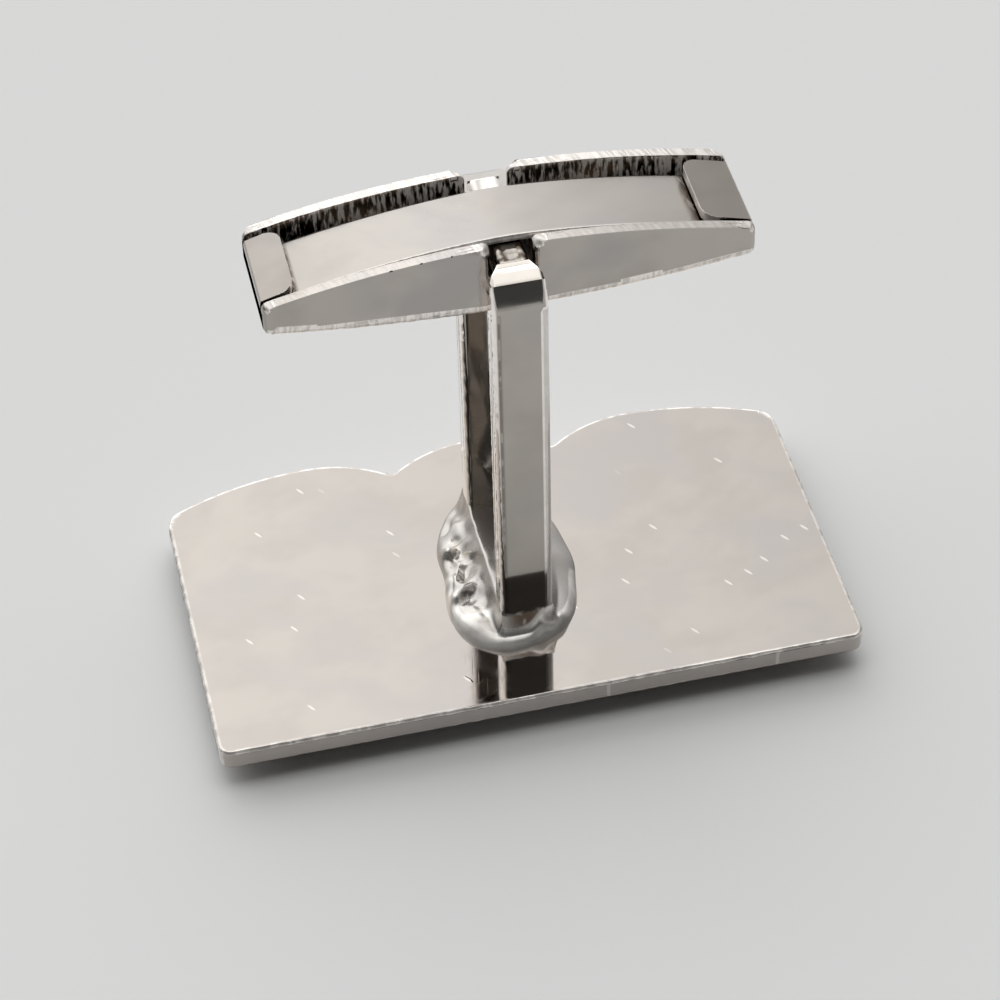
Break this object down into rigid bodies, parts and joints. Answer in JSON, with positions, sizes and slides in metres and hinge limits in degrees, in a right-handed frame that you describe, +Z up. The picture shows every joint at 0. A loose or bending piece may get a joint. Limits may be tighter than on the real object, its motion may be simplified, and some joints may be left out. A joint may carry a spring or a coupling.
{
  "type": "swivel-bar cufflink",
  "caption": "Cufflink with a flat lobed face plate, a bent strip post soldered to its back and a spring-held toggle bar that swivels in line with the post to pass a buttonhole.",
  "frame": {"origin": "on the resting face of the front panel, under the middle of the face plate's box", "axes": "+X along the face plate and the closed toggle, +Y towards the plate's lobed edge, +Z up the post"},
  "size_m": [0.024, 0.0136, 0.0195],
  "materials": {
    "plated_sheet": "bright warm silver plating with fine scratches",
    "satin_front": "satin plating, plain",
    "plated_strip": "bright plating over a bent strip",
    "plated_solder": "plated solder, lumpy",
    "plated_fold": "bright plating with sheared bright rims",
    "spring_steel": "rolled spring strip, semi-bright"
  },
  "bodies": {
    "base": {"face_plate": "plated_sheet", "front_panel": "satin_front", "post": "plated_strip", "solder_joint": "plated_solder"},
    "toggle": {"toggle_body": "plated_fold", "leaf_spring": "spring_steel"}
  },
  "joints": [
    {"name": "toggle_swivel", "type": "hinge", "parent": "base", "child": "toggle", "pos_m": [0, -0.0004, 0.01835], "axis": [0, 1, 0], "range_deg": [-90, 90], "deforming": ["leaf_spring"]}
  ]
}
